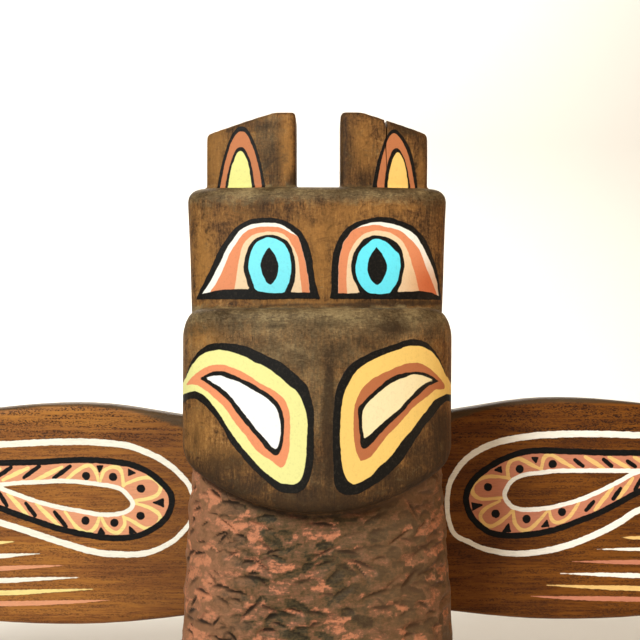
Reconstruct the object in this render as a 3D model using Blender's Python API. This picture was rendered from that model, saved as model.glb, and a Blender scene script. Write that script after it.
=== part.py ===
# Head and breast of a carved and painted wooden totem pole, with its two wing boards.
# The pole is one carved block: rough-chipped breast, muzzle, brow and two ears.
# The wings are flat boards, let into housings in the flat back of the pole.
# Metres, +Z up, the face looks along -Y, and the flat cut under the breast is z = 0.

import math
import random

import bmesh
import bpy

# Heights of the storeys of the pole, from the flat cut upwards.
BREAST_HEIGHT = 0.1045
MUZZLE_HEIGHT = 0.0855
BROW_HEIGHT = 0.0527
EAR_HEIGHT = 0.0335

# Depths, measured forward from the flat back.
MUZZLE_DEPTH = 0.116
MUZZLE_CHEEK_DEPTH = 0.080
MUZZLE_REAR_DEPTH = 0.010
BROW_DEPTH = 0.086
BROW_CHEEK_DEPTH = 0.061
BREAST_DEPTH = 0.104
BREAST_CHEEK_DEPTH = 0.053
EAR_FRONT_DEPTH = 0.074
EAR_THICKNESS = 0.042
SAW_WASTE = 0.003

# Widths across the front.
BREAST_WIDTH = 0.1235
NECK_WIDTH = 0.1128
MUZZLE_WIDTH = 0.1166
BROW_TOP_WIDTH = 0.1151
BROW_FOOT_WIDTH = 0.1107
EARS_WIDTH = 0.0980
EAR_GAP = 0.0195
EAR_GAP_SHIFT = 0.0005

# Roundings and slopes of the carving.
MUZZLE_ARC_RISE = 0.0205
MUZZLE_CORNER = 0.010
MUZZLE_LIP_CORNER = 0.004
MUZZLE_EDGE = 0.0042
MUZZLE_RIDGE = 0.007
BROW_EDGE = 0.006
BROW_RIDGE = 0.003
EAR_SLOPE_DROP = 0.0087
EAR_FLAT_TOP = 0.0095
EAR_TURN = 0.010
EAR_EDGE = 0.0016

# Tool chips on the breast, which stop short of the sawn back.
CHIP_WIDTH = 0.0060
CHIP_HEIGHT = 0.0050
CHIP_DEPTH = 0.0014
BACK_CORNER = 0.014
CHIP_SEED = 7

# Wing boards, with the misfit that sets the right board higher than the left.
WING_LENGTH = 0.247
WING_HEIGHT = 0.1055
WING_THICKNESS = 0.012
WING_LIFT = 0.040
WING_RIGHT_RISE = 0.0024
WING_ROOT = 0.031
WING_FRONT_ARRIS = 0.0030
WING_BACK_ARRIS = 0.0012
FIT_GAP = 0.0003

MUZZLE_TOP = BREAST_HEIGHT + MUZZLE_HEIGHT
BROW_TOP = MUZZLE_TOP + BROW_HEIGHT
BACK = MUZZLE_DEPTH / 2

def clear_scene():
    for item in list(bpy.data.objects):
        bpy.data.objects.remove(item, do_unlink=True)


def wood(name, color, roughness):
    """Matt wood of one colour."""
    material = bpy.data.materials.new(name)
    material.use_nodes = True
    shader = material.node_tree.nodes["Principled BSDF"]
    shader.inputs["Base Color"].default_value = (*color, 1.0)
    shader.inputs["Roughness"].default_value = roughness
    shader.inputs["Metallic"].default_value = 0.0
    material.diffuse_color = (*color, 1.0)
    return material


def add_object(name, mesh_data, material):
    """Put a bmesh into the scene as one object, with its faces turned outwards."""
    bmesh.ops.recalc_face_normals(mesh_data, faces=mesh_data.faces)
    mesh = bpy.data.meshes.new(name)
    mesh_data.to_mesh(mesh)
    mesh_data.free()
    mesh.materials.append(material)
    item = bpy.data.objects.new(name, mesh)
    bpy.context.scene.collection.objects.link(item)
    return item


def combine(target, tool, operation):
    """Join or cut the target with a tool that stays in the file as a hidden guide."""
    step = target.modifiers.new(f"{operation.lower()} {tool.name}", "BOOLEAN")
    step.operation = operation
    step.solver = "EXACT"
    step.object = tool
    tool.hide_render = True
    tool.display_type = "WIRE"


def bow(share, power):
    """Height of a superellipse over its base, for a share of its half width."""
    return max(0.0, 1.0 - abs(share) ** power) ** (1.0 / power)


def stations(count):
    """Shares of the half width from -1 to 1, closer together at the corners."""
    return [math.sin(math.pi * (i / count - 0.5)) for i in range(count + 1)]


def plan(half_width, front, side, back, ridge, shares, powers):
    """Closed outline seen from above: bowed front with a soft middle ridge, then the back."""
    soft = 0.12
    front_power, back_power = powers
    forward, backward = [], []
    for share in shares:
        slope = (math.hypot(share, soft) - soft) * bow(share, 12.0)
        y = side - (side - front) * bow(share, front_power) + ridge * slope
        forward.append((share * half_width, y))
    for share in reversed(shares[1:-1]):
        backward.append((share * half_width, side + (back - side) * bow(share, back_power)))
    return forward + backward


def skin(mesh_data, rings):
    """Join rings of equal length into the walls of a solid, and return their vertices."""
    rows = [[mesh_data.verts.new(point) for point in ring] for ring in rings]
    count = len(rows[0])
    for lower, upper in zip(rows, rows[1:]):
        for i in range(count):
            j = (i + 1) % count
            mesh_data.faces.new((lower[i], lower[j], upper[j], upper[i]))
    return rows


def close_across(mesh_data, row, last):
    """Close a ring with strips that run from front to back, so it may be bent."""
    count = len(row)
    mesh_data.faces.new((row[0], row[1], row[count - 1]))
    for i in range(1, last - 1):
        mesh_data.faces.new((row[i], row[i + 1], row[count - i - 1], row[count - i]))
    mesh_data.faces.new((row[last - 1], row[last], row[last + 1]))


def corner_drop(x, half_width, radius):
    """How far a rounded corner falls away from a straight edge at x."""
    inside = min(1.0, max(0.0, abs(x) - (half_width - radius)) / radius)
    return radius * (1.0 - math.sqrt(1.0 - inside * inside))


def rounding(radius, steps):
    """Inset and drop of each step round a quarter circle, from the cap to the wall."""
    result = []
    for i in range(steps + 1):
        angle = math.pi / 2 * i / steps
        result.append((radius * (1.0 - math.sin(angle)), radius * (1.0 - math.cos(angle))))
    return result


def breast_outline(half, tuck):
    """Smooth outline of the breast, seen from above."""
    side = BACK - BREAST_CHEEK_DEPTH
    front = BACK - BREAST_DEPTH + tuck
    return plan(half, front, side, BACK + SAW_WASTE, 0.0, stations(60), (2.6, 7.0))


def breast(material):
    """Column that flares towards its foot, with rows of staggered chips on all but its back."""
    chips = random.Random(CHIP_SEED)
    neck = BREAST_HEIGHT + 0.7 * MUZZLE_ARC_RISE
    top = neck + 0.15 * MUZZLE_HEIGHT
    levels = round(top / CHIP_HEIGHT)
    centre = BACK - BREAST_CHEEK_DEPTH
    walk = even_steps(breast_outline(BREAST_WIDTH / 2, 0.0), CHIP_WIDTH)
    rings = []
    for level in range(levels + 1):
        z = top * level / levels
        flare = max(0.0, 1.0 - (z / neck) ** 2)
        tuck = max(0.0, z - neck)
        half = (NECK_WIDTH + (BREAST_WIDTH - NECK_WIDTH) * flare) / 2 - tuck
        outline = breast_outline(half, tuck)
        depths = [CHIP_DEPTH * chips.random() for _ in range(len(walk) // 2 + 2)]
        ring = []
        for place, index in enumerate(walk):
            x, y = outline[index]
            chipped = level > 0 and y < BACK - BACK_CORNER
            depth = depths[(place + level % 2) // 2] if chipped else 0.0
            inward = depth / math.hypot(x, centre - y)
            ring.append((x * (1.0 - inward), y + (centre - y) * inward, z))
        rings.append(ring)
    mesh_data = bmesh.new()
    rows = skin(mesh_data, rings)
    mesh_data.faces.new(rows[0])
    mesh_data.faces.new(rows[-1])
    return add_object("pole", mesh_data, material)


def even_steps(outline, step):
    """Indices of the outline's points that lie about one step apart."""
    chosen, walked = [0], 0.0
    for i in range(1, len(outline)):
        walked += math.dist(outline[i], outline[i - 1])
        if walked >= step:
            chosen.append(i)
            walked = 0.0
    return chosen


def muzzle(material):
    """Block that stands out under the eyes, bowed and ridged, with an arched lower edge."""
    half = MUZZLE_WIDTH / 2
    front = BACK - MUZZLE_DEPTH
    side = BACK - MUZZLE_CHEEK_DEPTH
    rear = BACK - MUZZLE_REAR_DEPTH
    shares = stations(28)

    def foot(x):
        arc = BREAST_HEIGHT + MUZZLE_ARC_RISE * (x / half) ** 2
        return arc + corner_drop(x, half, MUZZLE_LIP_CORNER)

    def head(x):
        return MUZZLE_TOP - corner_drop(x, half, MUZZLE_CORNER)

    def ring(inset, height):
        points = plan(half - inset, front + inset, side, rear - inset, MUZZLE_RIDGE, shares, (3.0, 2.6))
        return [(x, y, height(x)) for x, y in points]

    rings = []
    for inset, drop in rounding(MUZZLE_EDGE, 4):
        rings.append(ring(inset, lambda x, drop=drop: foot(x) + drop))
    for part in (0.2, 0.4, 0.6, 0.8):
        def between(x, part=part):
            low = foot(x) + MUZZLE_EDGE
            return low + (head(x) - MUZZLE_EDGE - low) * part
        rings.append(ring(0.0, between))
    for inset, drop in reversed(rounding(MUZZLE_EDGE, 4)):
        rings.append(ring(inset, lambda x, drop=drop: head(x) - drop))
    mesh_data = bmesh.new()
    rows = skin(mesh_data, rings)
    close_across(mesh_data, rows[0], len(shares) - 1)
    close_across(mesh_data, rows[-1], len(shares) - 1)
    return add_object("muzzle guide", mesh_data, material)


def brow(material):
    """Head block behind and above the muzzle, a little wider at its rounded top."""
    front = BACK - BROW_DEPTH
    side = BACK - BROW_CHEEK_DEPTH
    shares = stations(28)
    low = BREAST_HEIGHT + 0.55 * MUZZLE_ARC_RISE

    def ring(z, inset):
        share = min(1.0, max(0.0, (z - MUZZLE_TOP) / BROW_HEIGHT))
        half = (BROW_FOOT_WIDTH + (BROW_TOP_WIDTH - BROW_FOOT_WIDTH) * share) / 2 - inset
        rear = BACK + 1.6 * SAW_WASTE - inset
        points = plan(half, front + inset, side, rear, BROW_RIDGE, shares, (4.0, 8.0))
        return [(x, y, z) for x, y in points]

    heights = [low, MUZZLE_TOP - MUZZLE_CORNER / 2, MUZZLE_TOP + 0.45 * BROW_HEIGHT]
    rings = [ring(z, 0.0) for z in heights]
    for inset, drop in reversed(rounding(BROW_EDGE, 4)):
        rings.append(ring(BROW_TOP - drop, inset))
    mesh_data = bmesh.new()
    rows = skin(mesh_data, rings)
    mesh_data.faces.new(rows[0])
    mesh_data.faces.new(rows[-1])
    return add_object("brow guide", mesh_data, material)


def ear(name, side_sign, material):
    """Upright ear whose top slopes down outwards and whose face turns outwards."""
    inner = EAR_GAP / 2 + side_sign * EAR_GAP_SHIFT
    outer = EARS_WIDTH / 2
    knee = inner + EAR_FLAT_TOP
    root = BROW_TOP - BROW_EDGE
    top = BROW_TOP + EAR_HEIGHT
    front = BACK - EAR_FRONT_DEPTH
    places = [inner + (knee - inner) * i / 2 for i in range(2)]
    places += [knee + (outer - knee) * i / 5 for i in range(6)]
    rings = []
    for x in places:
        turn = EAR_TURN * ((x - inner) / (outer - inner)) ** 2
        near = front + turn
        far = front + EAR_THICKNESS - 0.5 * turn
        ridge = top - EAR_SLOPE_DROP * max(0.0, x - knee) / (outer - knee)
        sign = side_sign
        rings.append([(sign * x, near, root), (sign * x, near, ridge), (sign * x, far, ridge), (sign * x, far, root)])
    mesh_data = bmesh.new()
    rows = skin(mesh_data, rings)
    mesh_data.faces.new(rows[0])
    mesh_data.faces.new(rows[-1])
    bmesh.ops.recalc_face_normals(mesh_data, faces=mesh_data.faces)
    sharp = [edge for edge in mesh_data.edges if edge.calc_face_angle() > math.radians(50)]
    above = [edge for edge in sharp if max(vert.co.z for vert in edge.verts) > root + EAR_EDGE]
    bmesh.ops.bevel(mesh_data, geom=above, offset=EAR_EDGE, segments=2, profile=0.5, affect="EDGES")
    return add_object(name, mesh_data, material)


def smooth_through(points, steps):
    """Points of a smooth curve that passes through the given points."""
    result = []
    for i in range(len(points) - 1):
        before = points[max(i - 1, 0)]
        start, end = points[i], points[i + 1]
        after = points[min(i + 2, len(points) - 1)]
        for k in range(steps):
            t = k / steps
            place = []
            for a, b, c, d in zip(before, start, end, after):
                bend = (2 * a - 5 * b + 4 * c - d) * t * t + (3 * b - a - 3 * c + d) * t ** 3
                place.append(0.5 * (2 * b + (c - a) * t + bend))
            result.append(tuple(place))
    result.append(points[-1])
    return result


def wing_outline(side_sign, grow):
    """Outline of a wing board in x and z, grown all round by a clearance."""
    # Shares of the length and height, from the top of the root round the tip to its foot.
    shape = [
        (0.00, 0.890), (0.15, 0.951), (0.31, 1.000), (0.49, 0.978), (0.72, 0.890), (0.90, 0.735),
        (1.00, 0.540), (0.95, 0.320), (0.80, 0.142), (0.56, 0.028), (0.33, 0.000), (0.13, 0.038),
        (0.00, 0.095),
    ]
    root = BREAST_WIDTH / 2 - WING_ROOT
    lift = WING_LIFT + (WING_RIGHT_RISE if side_sign > 0 else 0.0)
    curve = smooth_through(shape, 5)
    points = [(root + along * WING_LENGTH, lift + up * WING_HEIGHT) for along, up in curve]
    grown = []
    count = len(points)
    for i, (x, z) in enumerate(points):
        (x0, z0), (x1, z1) = points[i - 1], points[(i + 1) % count]
        if i in (0, count - 1):
            grown.append((x - grow, z + math.copysign(grow, z - lift - WING_HEIGHT / 2)))
            continue
        length = math.hypot(x1 - x0, z1 - z0)
        grown.append((x - (z1 - z0) / length * grow, z + (x1 - x0) / length * grow))
    return [(side_sign * x, z) for x, z in grown]


def slab(outline, front, back):
    """Flat board of the given outline between two depths."""
    mesh_data = bmesh.new()
    rows = skin(mesh_data, [[(x, y, z) for x, z in outline] for y in (front, back)])
    mesh_data.faces.new(rows[0])
    mesh_data.faces.new(rows[1])
    bmesh.ops.recalc_face_normals(mesh_data, faces=mesh_data.faces)
    return mesh_data


def wing(name, side_sign, material):
    """Wing board with a soft front arris, its back flush with the back of the pole."""
    front = BACK - WING_THICKNESS
    mesh_data = slab(wing_outline(side_sign, 0.0), front, BACK)
    for y, radius, segments in ((front, WING_FRONT_ARRIS, 3), (BACK, WING_BACK_ARRIS, 1)):
        rim = [edge for edge in mesh_data.edges if all(abs(v.co.y - y) < 1e-6 for v in edge.verts)]
        bmesh.ops.bevel(mesh_data, geom=rim, offset=radius, segments=segments, profile=0.5, affect="EDGES")
    return add_object(name, mesh_data, material)


def housing(name, side_sign, material):
    """Cutter for the place in the pole's back that takes the root of a wing."""
    front = BACK - WING_THICKNESS - FIT_GAP
    mesh_data = slab(wing_outline(side_sign, FIT_GAP), front, BACK + WING_THICKNESS)
    return add_object(name, mesh_data, material)


def saw_cut(material):
    """Cutter that leaves the whole back of the pole in one flat plane."""
    reach = BREAST_WIDTH + MUZZLE_WIDTH
    mesh_data = bmesh.new()
    bmesh.ops.create_cube(mesh_data, size=1.0)
    bmesh.ops.scale(mesh_data, vec=(reach, 10 * SAW_WASTE, 2 * BROW_TOP), verts=mesh_data.verts)
    bmesh.ops.translate(mesh_data, vec=(0.0, BACK + 5 * SAW_WASTE, BROW_TOP / 2), verts=mesh_data.verts)
    return add_object("saw guide", mesh_data, material)


clear_scene()
pole_wood = wood("pole wood", (0.16, 0.075, 0.032), 0.7)
left_wood = wood("left wing wood", (0.24, 0.095, 0.035), 0.55)
right_wood = wood("right wing wood", (0.24, 0.095, 0.035), 0.55)

pole = breast(pole_wood)
combine(pole, brow(pole_wood), "UNION")
combine(pole, muzzle(pole_wood), "UNION")
combine(pole, ear("left ear guide", -1, pole_wood), "UNION")
combine(pole, ear("right ear guide", 1, pole_wood), "UNION")
combine(pole, saw_cut(pole_wood), "DIFFERENCE")
combine(pole, housing("left housing guide", -1, pole_wood), "DIFFERENCE")
combine(pole, housing("right housing guide", 1, pole_wood), "DIFFERENCE")
wing("wing_left", -1, left_wood)
wing("wing_right", 1, right_wood)
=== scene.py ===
# %% [markdown]
# # A carved and painted totem pole
# The head of a small wooden pole: ears, a brow block with painted eyes, a deep muzzle with painted
# nostrils, a rough-chipped breast and two wing boards let into its back. The carving is already
# solid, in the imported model. This lesson gives each solid a finer skin, and stains and paints it.

# %% Load the carving
import math
import random

import bmesh
import bpy
import numpy as np
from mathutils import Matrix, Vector
from mathutils.kdtree import KDTree


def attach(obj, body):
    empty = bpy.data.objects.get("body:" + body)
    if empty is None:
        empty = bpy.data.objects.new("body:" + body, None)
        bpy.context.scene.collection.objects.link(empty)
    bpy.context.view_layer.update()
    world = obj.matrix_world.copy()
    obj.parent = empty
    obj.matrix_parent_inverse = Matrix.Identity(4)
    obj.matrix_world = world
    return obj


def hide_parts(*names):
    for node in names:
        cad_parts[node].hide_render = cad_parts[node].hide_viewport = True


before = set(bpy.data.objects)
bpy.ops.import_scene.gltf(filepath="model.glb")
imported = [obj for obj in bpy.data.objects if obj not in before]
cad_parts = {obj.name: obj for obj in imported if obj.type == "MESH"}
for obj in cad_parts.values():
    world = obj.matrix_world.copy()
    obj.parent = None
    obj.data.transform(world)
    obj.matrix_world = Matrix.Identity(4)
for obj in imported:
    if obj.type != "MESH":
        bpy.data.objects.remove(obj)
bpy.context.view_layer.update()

# %% [markdown]
# ## The camera
# The ornament is painted by where it is seen, so the camera comes first. It stands level with the
# muzzle's top, straight in front, and looks along +Y. A pinhole camera turns a point of the wood
# into a place on the 640 x 640 picture with one division by its distance.

# %% Camera
PICTURE = 640
EYE = (0.0013, -0.728, 0.185)
SENSOR = 36.0
LENS = 91.6
FOCAL = LENS / SENSOR * PICTURE


def new_object(name, data):
    """A new object with this data, in the scene."""
    thing = bpy.data.objects.new(name, data)
    bpy.context.scene.collection.objects.link(thing)
    return thing


camera = new_object("camera", bpy.data.cameras.new("camera"))
camera.location = EYE
camera.rotation_euler = (math.pi / 2, 0, 0)
camera.data.lens = LENS
camera.data.sensor_width = SENSOR
bpy.context.scene.camera = camera


def on_picture(points):
    """Where points of the wood are seen in the picture, in pixels from its upper left corner."""
    away = points[:, 1] - EYE[1]
    across = PICTURE / 2 + FOCAL * (points[:, 0] - EYE[0]) / away
    down = PICTURE / 2 - FOCAL * (points[:, 2] - EYE[2]) / away
    return np.stack([across, down], axis=1)


print("one pixel on the brow is", round((0.700 / FOCAL) * 1000, 3), "mm")

# %% [markdown]
# ## A finer skin
# The solid has only the faces that its shape needs, and paint, chips and cracks need many more. A
# voxel remesh gives even quads all over, some smoothing takes off its steps, and the painted places
# are then divided again. That is lighter than one very fine mesh.

# %% Dense copies
MM = 0.001


def dense_copy(node, name, voxel, smoothing):
    """A new object on the solid's shape, with even faces."""
    piece = new_object(name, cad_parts[node].data.copy())
    for title, kind, settings in (
            ("weld", "WELD", {"merge_threshold": 0.01 * MM}),
            ("even faces", "REMESH", {"mode": "VOXEL", "voxel_size": voxel}),
            ("no steps", "SMOOTH", {"factor": 0.5, "iterations": smoothing}),
            ("back on the carving", "SHRINKWRAP", {"target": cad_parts[node]}),
            ("ease", "SMOOTH", {"factor": 0.5, "iterations": 1})):
        modifier = piece.modifiers.new(title, kind)
        for setting, value in settings.items():
            setattr(modifier, setting, value)
    bake(piece)
    print(name, "has", len(piece.data.polygons), "faces of", voxel / MM, "mm")
    return piece


def bake(piece):
    """Turns the piece's modifiers into its mesh."""
    seen = piece.evaluated_get(bpy.context.evaluated_depsgraph_get())
    old = piece.data
    piece.data = bpy.data.meshes.new_from_object(seen)
    piece.modifiers.clear()
    bpy.data.meshes.remove(old)
    piece.data.materials.clear()


def places(piece):
    """The mesh's points, one row each, in metres."""
    points = np.zeros(len(piece.data.vertices) * 3)
    piece.data.vertices.foreach_get("co", points)
    return points.reshape(-1, 3)


def facings(piece):
    """The way the mesh faces at each of its points."""
    ways = np.zeros(len(piece.data.vertices) * 3)
    piece.data.vertex_normals.foreach_get("vector", ways)
    return ways.reshape(-1, 3)


def move_to(piece, points):
    """Puts the mesh's points at these places."""
    piece.data.vertices.foreach_set("co", points.ravel())
    piece.data.update()


def divide_where(piece, wanted):
    """Halves the faces whose points are all wanted."""
    mesh = bmesh.new()
    mesh.from_mesh(piece.data)
    mesh.verts.ensure_lookup_table()
    edges = [e for e in mesh.edges if wanted[e.verts[0].index] and wanted[e.verts[1].index]]
    bmesh.ops.subdivide_edges(mesh, edges=edges, cuts=1, use_grid_fill=True)
    mesh.to_mesh(piece.data)
    mesh.free()
    print(piece.name, "now has", len(piece.data.polygons), "faces")


# %% [markdown]
# ## Drawing with a brush
# A painted shape is an outline, drawn by a few points read off the picture, in its pixels. A
# smooth line runs through them, and turns sharply at a point marked with an exclamation mark. A
# semicolon parts two outlines of one colour. What the mesh keeps is each point's distance to the
# outline, less than nothing inside: a distance blends evenly across a face, so the paint's edge
# stays crisp however large the faces are.

# %% Outlines
SPAN_STEPS = 6
REACH = 14.0
FAR = 9.0


def drawn_line(text, closed):
    """A line through the points, and how far along the list each of its own points is."""
    words = text.split()
    sharp = [word.endswith("!") for word in words]
    dots = np.array([[float(n) for n in word.rstrip("!").split(",")] for word in words])
    count = len(dots)
    t = np.linspace(0, 1, SPAN_STEPS, endpoint=False)[:, None]
    line, along = [], []
    for i in range(count if closed else count - 1):
        j, k = (i + 1) % count, (i + 2) % count
        a, b = dots[i], dots[j]
        first = sharp[i] or (not closed and i == 0)
        last = sharp[j] or (not closed and j == count - 1)
        before = a if first else dots[i - 1]
        after = b if last else dots[k]
        line.append(0.5 * (2 * a + (b - before) * t + (2 * before - 5 * a + 4 * b - after) * t ** 2
                           + (3 * a - before - 3 * b + after) * t ** 3))
        along.append((i + t[:, 0]) / (count - 1))
    if not closed:
        line.append(dots[-1:])
        along.append(np.ones(1))
    return np.concatenate(line), np.concatenate(along)


def near(page, line):
    """Which points of the page are close enough to the line to matter."""
    low, high = line.min(0) - REACH, line.max(0) + REACH
    return np.flatnonzero(((page > low) & (page < high)).all(1))


def filled(page, text):
    """The distance from a closed outline, in pixels, negative inside."""
    line, _ = drawn_line(text, True)
    result = np.full(len(page), FAR)
    chosen = near(page, line)
    dots = page[chosen]
    best = np.full(len(dots), 1e9)
    inside = np.zeros(len(dots), bool)
    for a, b in zip(line, np.roll(line, -1, axis=0)):
        way = b - a
        offset = dots - a
        share = np.clip(offset @ way / (way @ way + 1e-9), 0, 1)
        best = np.minimum(best, ((offset - share[:, None] * way) ** 2).sum(1))
        if a[1] != b[1]:
            crosses = (a[1] > dots[:, 1]) != (b[1] > dots[:, 1])
            inside ^= crosses & (offset[:, 0] < way[0] * offset[:, 1] / way[1])
    result[chosen] = np.where(inside, -1, 1) * np.sqrt(best)
    return result


def stroked(page, text, widths, closed=False):
    """The distance from the edge of a brush stroke. Its widths are spread evenly along it."""
    line, along = drawn_line(text, closed)
    half = np.interp(along, np.linspace(0, 1, len(widths)), widths) / 2
    result = np.full(len(page), FAR)
    chosen = near(page, line)
    dots = page[chosen]
    best = np.full(len(dots), FAR)
    ends = zip(line, np.roll(line, -1, axis=0), half, np.roll(half, -1))
    for number, (a, b, thick, thin) in enumerate(ends):
        if number == len(line) - 1 and not closed:
            break
        way = b - a
        offset = dots - a
        share = np.clip(offset @ way / (way @ way + 1e-9), 0, 1)
        away = np.sqrt(((offset - share[:, None] * way) ** 2).sum(1))
        best = np.minimum(best, away - thick - share * (thin - thick))
    result[chosen] = best
    return result


def all_of(shapes):
    """Several shapes of one colour."""
    return np.minimum.reduce(shapes)


print("an outline has", SPAN_STEPS, "steps between two of its points")

# %% [markdown]
# ## The pole
# One block of soft wood, sawn, carved and sanded, and stained brown. Its faces are not quite true,
# as handwork leaves them, so the skin swells and sinks by a quarter of a millimetre.

# %% Pole skin
POLE_VOXEL = 1.65 * MM
BREAST_TOP = 0.1045
ARC_RISE = 0.0205
HALF_MUZZLE = 0.0583
MUZZLE_TOP = 0.190
BROW_TOP = 0.2427

pole = dense_copy("pole", "totem_pole", POLE_VOXEL, 3)


def muzzle_edge(x):
    """The height of the muzzle's arched lower edge."""
    return BREAST_TOP + ARC_RISE * (np.abs(x) / HALF_MUZZLE) ** 2


def waves(points, size, seed):
    """Soft random hills of about this size, from -1 to 1."""
    draw = random.Random(seed)
    total = np.zeros(len(points))
    for _ in range(7):
        way = Vector((draw.gauss(0, 1), draw.gauss(0, 1), draw.gauss(0, 1))).normalized()
        turn = points @ np.array(way) * (2 * math.pi / size) * draw.uniform(0.6, 1.5)
        total += np.sin(turn + draw.uniform(0, 6.3))
    return total / 4


HAND_UNEVENNESS = 0.22 * MM
HILL_SIZE = 34 * MM
spots = places(pole)
spots -= facings(pole) * (1 + waves(spots, HILL_SIZE, 3))[:, None] * HAND_UNEVENNESS / 2
move_to(pole, spots)

# %% [markdown]
# ## The chipped breast
# Below the muzzle the wood is left rough: hundreds of short, nearly level chips from a small gouge,
# each with a ledge at its upper edge. Every chip here is half an ellipsoid pushed into the skin, and
# where two meet the deeper one wins, which leaves the ridges between them standing.

# %% Breast chips
CHIP_COUNT = 950
CHIP_LONG = (3.0 * MM, 8.5 * MM)
CHIP_SHORT = (1.4 * MM, 3.4 * MM)
CHIP_DEEP = (0.3 * MM, 2.2 * MM)
CHIP_TILT = 0.38
CHIP_HOLLOW = 0.4
CHIP_LEDGE = 0.48
MOSTLY_SHALLOW = 1.8
CHIP_SLOPE = 0.6
BACK_FACE = 0.0565
FRONT_HALF = -8 * MM
FINE_UNDER_EDGE, CHIPS_UNDER_EDGE = 1.0 * MM, 1.2 * MM
FINE_OVER_FOOT, CHIPS_OVER_FOOT = 3 * MM, 1.5 * MM


def under_edge(points, gap):
    """Which points lie this far under the muzzle's edge, and not on the flat back."""
    return (points[:, 2] < muzzle_edge(points[:, 0]) - gap) & (points[:, 1] < BACK_FACE)


spots = places(pole)
fine = under_edge(spots, FINE_UNDER_EDGE) & (spots[:, 1] < FRONT_HALF)
divide_where(pole, fine & (spots[:, 2] > FINE_OVER_FOOT))

spots = places(pole)
ways = facings(pole)
on_breast = under_edge(spots, CHIPS_UNDER_EDGE) & (spots[:, 2] > CHIPS_OVER_FOOT)
on_breast &= np.abs(ways[:, 2]) < CHIP_SLOPE
breast = np.flatnonzero(on_breast)
skin_points = KDTree(len(breast))
for number in breast:
    skin_points.insert(spots[number], int(number))
skin_points.balance()

gouge = random.Random(5)
depth = np.zeros(len(spots))
tone = np.full(len(spots), 0.5)
ledge = np.zeros(len(spots))
for _ in range(CHIP_COUNT):
    middle = int(gouge.choice(breast))
    out = Vector(ways[middle]).normalized()
    level = Vector((-out.y, out.x, 0)).normalized()
    upward = Vector((0, 0, 1))
    tilt = gouge.gauss(0, CHIP_TILT)
    along = level * math.cos(tilt) + upward * math.sin(tilt)
    across = upward * math.cos(tilt) - level * math.sin(tilt)
    reach_long, reach_short = gouge.uniform(*CHIP_LONG), gouge.uniform(*CHIP_SHORT)
    deepest = CHIP_DEEP[0] + (CHIP_DEEP[1] - CHIP_DEEP[0]) * gouge.random() ** MOSTLY_SHALLOW
    own_tone = gouge.random()
    centre = Vector(spots[middle])
    for place, number, _ in skin_points.find_range(centre, reach_long):
        offset = place - centre
        a, b = offset.dot(along) / reach_long, offset.dot(across) / reach_short
        round_off = a * a + b * b
        if round_off < 1:
            here = deepest * (1 - round_off) ** CHIP_HOLLOW * (1 - CHIP_LEDGE + CHIP_LEDGE * b)
            if here > depth[number]:
                depth[number] = here
                tone[number] = own_tone
                ledge[number] = max(0.0, b)
spots -= ways * depth[:, None]
move_to(pole, spots)
chips = KDTree(len(breast))
for number in breast:
    chips.insert(spots[number], int(number))
chips.balance()
print("chips cut", CHIP_COUNT, "mean depth", round(float(depth[breast].mean()) / MM, 2), "mm")

# %% [markdown]
# ## The crack in the ear
# The block has dried, and the ear on the right has opened along its grain. It is a real gap: a thin
# wedge, wider at the top, is taken out of the skin with a Boolean.

# %% Ear crack
CRACK = ((0.0300, 0.2735), (0.0306, 0.2680), (0.0302, 0.2610), (0.0306, 0.2540), (0.0305, 0.2478))
CRACK_HALF_WIDTHS = (0.95 * MM, 0.34 * MM, 0.30 * MM, 0.22 * MM, 0.04 * MM)
CRACK_FRONT = -0.020
CRACK_BACK = 0.004


def object_from(name, mesh):
    """A new object of a mesh that was built by hand."""
    thing = new_object(name, bpy.data.meshes.new(name))
    mesh.to_mesh(thing.data)
    mesh.free()
    return thing


def crack_cutter():
    """A thin wedge along the crack, to take out of the ear."""
    mesh = bmesh.new()
    rows = []
    for (x, z), half in zip(CRACK, CRACK_HALF_WIDTHS):
        front = [mesh.verts.new((x + side * half, CRACK_FRONT, z)) for side in (-1, 1)]
        rows.append(front + [mesh.verts.new((x, CRACK_BACK, z))])
    for upper, lower in zip(rows, rows[1:]):
        for i in range(3):
            j = (i + 1) % 3
            mesh.faces.new((upper[i], upper[j], lower[j], lower[i]))
    mesh.faces.new(rows[0])
    mesh.faces.new(rows[-1])
    bmesh.ops.recalc_face_normals(mesh, faces=mesh.faces)
    return object_from("crack_cutter", mesh)


# %% [markdown]
# ## The face paint
# Poster or acrylic paint, put on with a small brush in the old manner: a broad black line first,
# then the colours inside it, each over the last. The outlines are in painting order too.

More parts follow.
